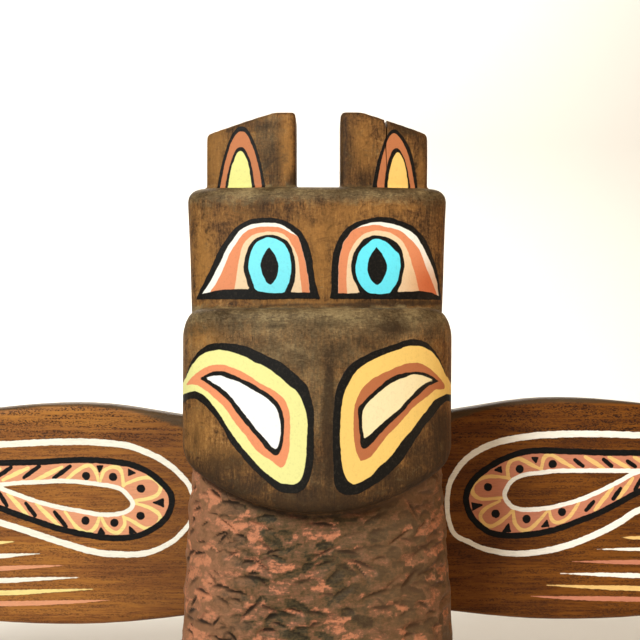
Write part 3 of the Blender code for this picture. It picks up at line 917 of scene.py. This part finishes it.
# %% Where each piece belongs
for piece, node, slot in ((pole, "pole", "pole_wood"), (wing_left, "wing_left", "wing_wood"),
                          (wing_right, "wing_right", "wing_wood")):
    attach(piece, "root")
    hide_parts(node)
    piece.data.polygons.foreach_set("use_smooth", [True] * len(piece.data.polygons))
    piece.data.calc_loop_triangles()
    print(piece.name, len(piece.data.loop_triangles), "triangles")

# %% [markdown]
# ## Colours and nodes
# A colour is written as it looks on a screen and turned to the linear light that a renderer counts
# in. One small function adds any node, with its settings and what goes into it.

# %% Helpers for materials
FACTOR, FIRST, SECOND, MIXED = 0, 6, 7, 2


def linear(colour):
    """An sRGB hex colour as linear red, green, blue and alpha."""
    parts = [int(colour[i:i + 2], 16) / 255 for i in (1, 3, 5)]
    return [p / 12.92 if p <= 0.04045 else ((p + 0.055) / 1.055) ** 2.4 for p in parts] + [1.0]


def begin_material(name):
    """A new, empty material. The nodes that follow go into its tree."""
    global tree
    material = bpy.data.materials.new(name)
    material.use_nodes = True
    tree = material.node_tree
    tree.nodes.clear()
    return material


def add(kind, inputs=None, give=0, **settings):
    """Adds a node with its settings and what goes into it, and gives one of its outputs."""
    node = tree.nodes.new("ShaderNode" + kind)
    for name, value in settings.items():
        setattr(node, name, value)
    for name, value in (inputs or {}).items():
        if isinstance(value, bpy.types.NodeSocket):
            tree.links.new(value, node.inputs[name])
        else:
            node.inputs[name].default_value = value
    return node.outputs[give] if len(node.outputs) else None


print("cream paint in linear light:", [round(part, 3) for part in linear("#EFE6C4")[:3]])

# %% [markdown]
# ## Patterns at their real size
# Every pattern in the wood is noise, stretched so that its marks have the size that the real ones
# have. A finish is usually several of them added up by weight, with the useful part of the sum
# stretched to run from none to full.

# %% Helpers for patterns


def patterns(place, table):
    """Noises whose marks are so many mm along X, Y and Z. Then: detail, roughness, distortion."""
    noises = []
    for x, y, z, detail, rough, twist in table:
        sized = add("Mapping", {"Vector": place, "Scale": (1000 / x, 1000 / y, 1000 / z)})
        noises.append(add("TexNoise", {"Vector": sized, "Scale": 1.0, "Detail": detail,
                                       "Roughness": rough, "Distortion": twist}))
    return noises


def weighed(marks, low, high, most=1.0):
    """Patterns added up by weight, with the span from low to high stretched to 0 to most."""
    total = 0.0
    for pattern, weight in marks:
        total = add("Math", {0: pattern, 1: weight, 2: total}, operation="MULTIPLY_ADD")
    return add("MapRange", {"Value": total, "From Min": low, "From Max": high, "To Max": most})


def set_ramp(colour, stops):
    """Gives a ramp its paints, and where along it each one lies."""
    ramp = colour.node.color_ramp
    while len(ramp.elements) < len(stops):
        ramp.elements.new(1.0)
    for element, (where, paint) in zip(ramp.elements, stops):
        element.position = where
        element.color = linear(paint)


# %% [markdown]
# ## A coat of brushed paint
# Poster paint dries dull, with an index near 1.5. Each coat covers where its distance is below
# nothing. A little noise moves that edge by a few tenths of a millimetre, as a brush does on open
# grain, and the coat stands a little proud, which the bump shows.

# %% Coats of paint
EDGE_SOFT = 0.10
BRUSH_WOBBLE = 0.42
HAND_LOW, HAND_HIGH = 0.2, 0.8
BLACK_GREYS, PALE_DARKENS, BLACK_SUM = 2.4, 0.94, 160
WOOD_ROUGH, PAINT_ROUGH, OIL_ROUGH = 0.62, 0.5, 0.45
WOOD_INDEX = 1.5
RELIEF_DEPTH = 0.12 * MM


def thin(paint):
    """The same paint where it is thin: a pale paint is darker there, and a black one greyer."""
    parts = [int(paint[i:i + 2], 16) for i in (1, 3, 5)]
    share = BLACK_GREYS if sum(parts) < BLACK_SUM else PALE_DARKENS
    return "#" + "".join(f"{round(part * share):02X}" for part in parts)


def lay_coats(colour, coats, hand, speck):
    """Paints the coats over a colour, and gives the new colour and where there is paint."""
    half = BRUSH_WOBBLE / 2
    wobble = add("MapRange", {"Value": hand, "From Min": HAND_LOW, "From Max": HAND_HIGH,
                              "To Min": -half, "To Max": half})
    covered = 0.0
    for name, paint in coats:
        distance = add("Attribute", give="Fac", attribute_name=name)
        moved = add("Math", {0: distance, 1: wobble}, operation="ADD")
        cover = add("MapRange", {"Value": moved, "From Min": EDGE_SOFT, "From Max": -EDGE_SOFT})
        shade = add("Mix", {FACTOR: speck, FIRST: linear(paint), SECOND: linear(thin(paint))},
                    MIXED, data_type="RGBA")
        colour = add("Mix", {FACTOR: cover, FIRST: colour, SECOND: shade}, MIXED,
                     data_type="RGBA")
        covered = add("Math", {0: covered, 1: cover}, operation="MAXIMUM")
    return colour, covered


def finish_material(colour, rough, relief, shine):
    """The shader of wood and paint, with their relief, and the material's end."""
    bump = add("Bump", {"Height": relief, "Distance": RELIEF_DEPTH, "Strength": 1.0})
    shader = add("BsdfPrincipled", {"Base Color": colour, "Roughness": rough, "Normal": bump,
                                    "IOR": WOOD_INDEX, "Specular IOR Level": shine})
    add("OutputMaterial", {"Surface": shader})


# The right nostril's yellow, salmon and white and the right ear's yellow are the left's paints,
# warmer and darker: painted shade
FACE_COLOURS = (("under_black", "#12100D"), ("white", "#EDE9DC"), ("yellow", "#DCD88E"),
                ("shaded_yellow", "#E5C06C"), ("salmon", "#D8885E"), ("ear_salmon", "#B67249"),
                ("shaded_salmon", "#AC6741"), ("peach", "#E5C9A2"), ("over_black", "#12100D"),
                ("clean_white", "#EDEAE6"), ("cream", "#E9D8AA"), ("ear_yellow", "#DCD988"),
                ("ear_shaded_yellow", "#EDC671"), ("blue", "#78E0EC"), ("deep_blue", "#66E0F2"),
                ("pupil", "#12100D"))
LEFT_COLOURS = (("salmon", "#DB9770"), ("yellow", "#EFD98C"), ("black", "#080706"),
                ("cream", "#F0EDDC"))
# The right board carries the left's paints: its darker salmon and deeper yellow are painted shade,
# its lighter cream painted light
RIGHT_COLOURS = (("salmon", "#C57F62"), ("yellow", "#E9C078"), ("black", "#080706"),
                 ("cream", "#F8F5EA"))

# %% [markdown]
# ## Stained softwood
# The pole is a pale softwood under brown stain, with an index near 1.5. The stain sits deep in the
# open grain and thin on the hard lines, so it shows as fine fibres and long upright streaks, over
# broad lighter and darker patches where the rag went round. An oiled, hand-rubbed face is fairly
# dull.

# %% Patterns in the softwood
# In turn: fibres, streaks, swirls, patches, specks, the hand's wobble, wipes and drags of a brush
POLE_PATTERNS = (
    (0.5, 0.5, 3.4, 3.0, 0.6, 0.0), (2.4, 2.4, 17.0, 4.0, 0.6, 0.5),
    (6.0, 6.0, 4.2, 6.0, 0.68, 1.2), (14.0, 14.0, 14.0, 5.0, 0.62, 0.0),
    (1 / 0.9, 1 / 0.9, 1 / 0.9, 3.0, 0.7, 0.0), (1 / 0.33, 1 / 0.33, 1 / 0.33, 2.0, 0.5, 0.0),
    (3.5, 3.5, 0.7, 4.0, 0.65, 1.5), (3.75, 3.75, 1.375, 4.0, 0.7, 0.0),
)
MARKS_BREAK = 1.5

pole_wood = begin_material("stained_softwood_and_poster_paint")
place = add("TexCoord", give="Object")
fibres, streaks, swirls, patches, specks, hand, wipes, dragged = patterns(place, POLE_PATTERNS)
tone = weighed(((patches, 0.55), (fibres, 0.8), (swirls, 0.6), (specks, 0.7), (streaks, 0.7)),
               1.41, 1.96)
grey_tone = weighed(((wipes, 0.5), (patches, 0.75), (specks, 0.35)), 0.58, 1.02)


def broken(name, low, high, most):
    """A field kept on the mesh, with its edge broken up by the rubbing marks."""
    field = add("Attribute", give="Fac", attribute_name=name)
    return weighed(((field, 1.0), (swirls, MARKS_BREAK)), low, high, most)


print("patterns in the softwood:", len(POLE_PATTERNS))

# %% [markdown]
# ## Layers of stain and painted shade
# Over the brown lie warm places, dark flecks in the open grain, grey and dark patches, and a dark
# lip and arrises; the dark on the ears' arrises is painted shade, and one dark patch is too. The
# sides and back are plainer, and the rubbed upper edges are grey and wiped sideways, which also
# paints their sheen. Each layer covers so much of what is under it, in this order.

# %% Layers on the head
STAIN = ((0.0, "#342413"), (0.3, "#573B20"), (0.55, "#704D29"), (0.8, "#886031"), (1.0, "#A2794A"))
GREYED = ((0.1, "#463A27"), (0.5, "#6E5E42"), (0.9, "#988864"))
WORN_AND_SHEEN = ((0.15, "#382C19"), (0.5, "#5F5037"), (0.85, "#8B7954"))
WARM_WOOD, DARK_WOOD, PLAIN_STAIN = "#A8763A", "#2A1E12", "#6E4A26"
PLAIN_FROM, PLAIN_TO, PLAIN_MOST = 0.015, 0.045, 0.55

head = add("ValToRGB", {"Fac": tone})
greyed = add("ValToRGB", {"Fac": grey_tone})
worn_and_sheen_wood = add("ValToRGB", {"Fac": grey_tone})
for ramp, stops in ((head, STAIN), (greyed, GREYED), (worn_and_sheen_wood, WORN_AND_SHEEN)):
    set_ramp(ramp, stops)
open_fibres = add("MapRange", {"Value": fibres, "From Min": 0.58, "From Max": 0.70})
in_dips = add("MapRange", {"Value": swirls, "From Min": 0.62, "From Max": 0.42, "To Max": 0.36})
flecks = add("Math", {0: open_fibres, 1: in_dips}, operation="MULTIPLY")
sideways = add("SeparateXYZ", {"Vector": place}, "X")
plainer = add("MapRange", {"Value": sideways.node.outputs["Y"], "From Min": PLAIN_FROM,
                           "From Max": PLAIN_TO, "To Max": PLAIN_MOST})
# Each field with where it begins, where it is full and the most that it covers, and its colour
for cover, hue in (
        (broken("warm_stain", 0.85, 1.4, 0.5), linear(WARM_WOOD)),
        (flecks, linear(DARK_WOOD)),
        # Grey stain, and along the brow's top edge a painted sheen
        (broken("grey_stain_and_sheen", 0.85, 1.45, 0.62), greyed),
        # Dark stain, and at one patch painted shade
        (broken("dark_stain_and_shade", 0.85, 1.35, 0.8), linear(DARK_WOOD)),
        (broken("lip", 0.9, 1.6, 0.7), linear(DARK_WOOD)),
        # Painted shade along the ears' rounded arrises
        (broken("arris", 0.9, 1.5, 0.3), linear(DARK_WOOD)),
        (plainer, linear(PLAIN_STAIN)),
        # Wear and a painted sheen on the upper edges
        (broken("worn_and_sheen", 0.85, 1.5, 0.8), worn_and_sheen_wood)):
    head = add("Mix", {FACTOR: cover, FIRST: head, SECOND: hue}, MIXED, data_type="RGBA")
print("nodes for the stained head:", len(tree.nodes))

# %% [markdown]
# ## The dry-brushed breast, and its painted shade
# The chips were stained, and then salmon paint was dragged over them with an almost dry brush. It
# caught the ridges and some whole facets, and left grey-green and brown in the hollows. The nearly
# black lines under the ledges are painted shade, and so is the dark band just under the muzzle's
# edge, the muzzle's painted shadow. Each facet has its own tone, and noise breaks it up. The brush
# was full on the left, and muddy by the time it came to the right.

# %% Breast colours
DRY_BRUSHED = ((0.0, "#2A2317"), (0.24, "#423824"), (0.38, "#574229"), (0.58, "#6E4F37"),
               (0.70, "#80553E"), (0.77, "#A86C4D"), (1.0, "#C67E5A"))
# The near-black is painted shade, under the chips' ledges and under the muzzle's edge
LOADED_PAINT, PAINTED_SHADE, MUDDY_PAINT = "#A87353", "#1E150D", "#73543B"
LOADED_LIFT = 0.09
MUDDY_FROM, MUDDY_TO, MUDDY_MOST = 0.0, 0.035, 0.4

facet, hollow, crevice, loaded, on_breast = (
    add("Attribute", give="Fac", attribute_name=name)
    for name in ("facet", "hollow", "crevice", "loaded", "breast"))
facet_tone = weighed(((dragged, 1.0), (facet, 0.72), (swirls, 0.75), (specks, 0.6)), 1.08, 2.04)
facet_tone = add("Math", {0: loaded, 1: LOADED_LIFT, 2: facet_tone}, operation="MULTIPLY_ADD")
chipped = add("ValToRGB", {"Fac": facet_tone})
set_ramp(chipped, DRY_BRUSHED)
# Painted shade: the deepest part under each chip's ledge goes nearly black
deep = add("Math", {0: hollow, 1: crevice}, operation="MULTIPLY")
deep = add("MapRange", {"Value": deep, "From Min": 0.08, "From Max": 0.34, "To Max": 0.92})
muddy = add("MapRange", {"Value": sideways, "From Min": MUDDY_FROM, "From Max": MUDDY_TO,
                         "To Max": MUDDY_MOST})
# Painted shade comes second and third: under the ledges and just under the muzzle's edge
for cover, hue in ((broken("loaded", 0.95, 1.6, 0.42), LOADED_PAINT), (deep, PAINTED_SHADE),
                   (broken("painted_shadow_under_muzzle", 0.98, 1.45, 0.85), PAINTED_SHADE), (muddy, MUDDY_PAINT)):
    chipped = add("Mix", {FACTOR: cover, FIRST: chipped, SECOND: linear(hue)}, MIXED,
                  data_type="RGBA")
bare_wood = add("Mix", {FACTOR: on_breast, FIRST: head, SECOND: chipped}, MIXED, data_type="RGBA")
print("nodes with the breast:", len(tree.nodes))

# %% [markdown]
# ## Paint over the wood
# The coats go on over stain and chips alike. The dried paint is a little smoother than the wood, and
# the wood's fibres differ in gloss. At the outer end of the right eyelid the paint is darker and
# warmer.

# %% Pole paint, gloss and relief
LID_END_TINT = "#E2BBA4"
FIBRE_ROUGH = (-0.1, 0.12)
POLE_SHINE = 0.12

speck = add("MapRange", {"Value": specks, "From Min": 0.52, "From Max": 0.75})
colour, cover = lay_coats(bare_wood, FACE_COLOURS, hand, speck)
# The paint at the outer end of the right eyelid is darker and warmer
lid_end = add("Attribute", give="Fac", attribute_name="darker_lid_end")
lid_end = add("Math", {0: lid_end, 1: cover}, operation="MULTIPLY")
colour = add("Mix", {FACTOR: lid_end, FIRST: colour, SECOND: linear(LID_END_TINT)}, MIXED,
             data_type="RGBA", blend_type="MULTIPLY")
rough = add("MapRange", {"Value": cover, "To Min": WOOD_ROUGH, "To Max": PAINT_ROUGH})
fibre_rough = add("MapRange", {"Value": fibres, "To Min": FIBRE_ROUGH[0],
                               "To Max": FIBRE_ROUGH[1]})
rough = add("Math", {0: rough, 1: fibre_rough}, operation="ADD")
relief = add("Math", {0: fibres, 1: 0.5, 2: cover}, operation="MULTIPLY_ADD")
finish_material(colour, rough, relief, POLE_SHINE)
pole.data.materials.append(pole_wood)
print("pole material:", len(tree.nodes), "nodes")

# %% [markdown]
# ## Open-pored wing boards
# The boards look like a mahogany-like wood: orange to red-brown, with short dark pore lines that lie
# in level rows about 2 mm apart, and a satin oil finish. Stretched noise gives the pores, each about
# a millimetre and a half long, and a slower noise gives the bands of the grain.

# %% Wing material
# In turn: pores, rows of pores, fine fibres, broad bands and the hand's wobble
BOARD_PATTERNS = (
    (0.9, 4.0, 0.42, 1.0, 0.5, 0.0), (20.0, 4.0, 0.85, 1.0, 0.5, 0.0),
    (4.0, 4.0, 0.5, 3.0, 0.5, 0.0), (45.0, 4.0, 6.0, 4.0, 0.5, 0.0),
    (2.5, 2.5, 2.5, 2.0, 0.5, 0.0),
)
LEFT_STOPS = ((0.0, "#AF7431"), (0.35, "#9D652C"), (0.65, "#865226"), (1.0, "#693D1B"))
RIGHT_STOPS = ((0.0, "#834D17"), (0.35, "#724211"), (0.65, "#5E330C"), (1.0, "#462308"))
LEFT_PORE, RIGHT_PORE = "#472A15", "#2E1707"
NEAR_LEFT, NEAR_RIGHT = 0.4, 0.0
ARRIS_GREY = "#4A3C29"
BOARD_SHINE = 0.14


def oiled_hardwood(name, stops, pore_colour, near_share, coats):
    """The boards' wood, oiled, in the tones of one board, with its painted marks."""
    material = begin_material(name)
    place = add("TexCoord", give="Object")
    pores, rows, fine, bands, hand = patterns(place, BOARD_PATTERNS)
    open_grain, near_pole, arris = (
        add("Attribute", give="Fac", attribute_name=field)
        for field in ("open_grain", "near_pole", "arris"))
    pores = add("MapRange", {"Value": pores, "From Min": 0.48, "From Max": 0.60})
    in_rows = add("MapRange", {"Value": rows, "From Min": 0.36, "From Max": 0.56})
    for limit in (in_rows, open_grain):
        pores = add("Math", {0: pores, 1: limit}, operation="MULTIPLY")
    near_pole = add("Math", {0: near_pole, 1: near_share}, operation="MULTIPLY")
    # Grey on the top edge: wear, and near the pole the head's painted shadow
    arris_wear_and_shadow = weighed(((arris, 1.0), (bands, 0.8)), 0.55, 1.3, 0.85)
    tone = weighed(((bands, 1.0), (fine, 0.6), (rows, 0.4)), 0.64, 1.36)
    colour = add("ValToRGB", {"Fac": tone})
    set_ramp(colour, stops)
    for cover, hue in ((pores, pore_colour), (near_pole, pore_colour), (arris_wear_and_shadow, ARRIS_GREY)):
        colour = add("Mix", {FACTOR: cover, FIRST: colour, SECOND: linear(hue)}, MIXED,
                     data_type="RGBA")
    speck = add("MapRange", {"Value": fine, "From Min": 0.5, "From Max": 0.7})
    colour, cover = lay_coats(colour, coats, hand, speck)
    rough = add("MapRange", {"Value": cover, "To Min": OIL_ROUGH, "To Max": PAINT_ROUGH})
    relief = add("Math", {0: pores, 1: -0.8, 2: cover}, operation="MULTIPLY_ADD")
    finish_material(colour, rough, relief, BOARD_SHINE)
    return material


for wing, name, stops, pore_colour, near_share, coats in (
        (wing_left, "oiled_hardwood_left", LEFT_STOPS, LEFT_PORE, NEAR_LEFT, LEFT_COLOURS),
        (wing_right, "oiled_hardwood_right", RIGHT_STOPS, RIGHT_PORE, NEAR_RIGHT, RIGHT_COLOURS)):
    wing.data.materials.append(oiled_hardwood(name, stops, pore_colour, near_share, coats))
print("materials:", [material.name for material in bpy.data.materials])

# %% [markdown]
# ## Floor and light
# A pale sweep of card stands in for floor and wall. The light is one large soft window on the left,
# which falls off across the object, with a weak warm bounce from the right and a warm ceiling. A
# fourth light washes the wall, so that it stays nearly white behind the wood.

# %% Floor
SWEEP_FRONT, SWEEP_BACK, SWEEP_HALF, SWEEP_TOP, SWEEP_BEND = -3.0, 2.2, 3.5, 3.2, 0.5


def make_sweep():
    """A sheet of card that runs level, bends and goes up as the wall."""
    mesh = bmesh.new()
    profile = [(SWEEP_FRONT, 0.0)]
    for step in range(13):
        turn = math.pi / 2 * step / 12
        profile.append((SWEEP_BACK - SWEEP_BEND + SWEEP_BEND * math.sin(turn),
                        SWEEP_BEND * (1 - math.cos(turn))))
    profile.append((SWEEP_BACK, SWEEP_TOP))
    rows = [[mesh.verts.new((x, y, z)) for x in (-SWEEP_HALF, SWEEP_HALF)] for y, z in profile]
    for lower, upper in zip(rows, rows[1:]):
        mesh.faces.new((lower[0], lower[1], upper[1], upper[0]))
    sweep = object_from("floor_sweep", mesh)
    sweep.data.polygons.foreach_set("use_smooth", [True] * len(sweep.data.polygons))
    return sweep


floor = make_sweep()
card = begin_material("pale_card")
card_place = add("TexCoord", give="Object")
card_noise = add("TexNoise", {"Vector": card_place, "Scale": 900.0})
card_colour = add("ValToRGB", {"Fac": card_noise})
set_ramp(card_colour, ((0.0, "#CFCBC4"), (1.0, "#D3D0C9")))
card_shader = add("BsdfPrincipled", {"Base Color": card_colour, "Roughness": 0.9})
add("OutputMaterial", {"Surface": card_shader})
floor.data.materials.append(card)

# %% Lights


def add_light(name, where, target, width, power, colour):
    """A square soft light that faces its target."""
    light = bpy.data.lights.new(name, "AREA")
    light.shape = "SQUARE"
    light.size = width
    light.energy = power
    light.color = linear(colour)[:3]
    lamp = new_object(name, light)
    lamp.location = where
    lamp.rotation_euler = (Vector(target) - Vector(where)).to_track_quat("-Z", "Y").to_euler()


HEART = (0.0, 0.0, 0.17)
add_light("window", (-0.82, -1.54, 1.05), HEART, 0.6, 41.0, "#FCFFFF")
add_light("bounce", (1.15, -0.42, 0.35), HEART, 0.8, 6.6, "#FFD8AC")
add_light("ceiling", (0.0, -0.45, 1.5), HEART, 0.8, 4.0, "#FFE6C6")
add_light("wall_wash", (-0.4, 1.65, 1.75), (-0.4, 2.2, 0.7), 1.3, 74.0, "#FFFAF3")

world = bpy.data.worlds.new("room")
world.use_nodes = True
world.node_tree.nodes["Background"].inputs["Color"].default_value = linear("#FFECD2")
world.node_tree.nodes["Background"].inputs["Strength"].default_value = 0.08
bpy.context.scene.world = world
bpy.context.scene.view_settings.view_transform = "Standard"
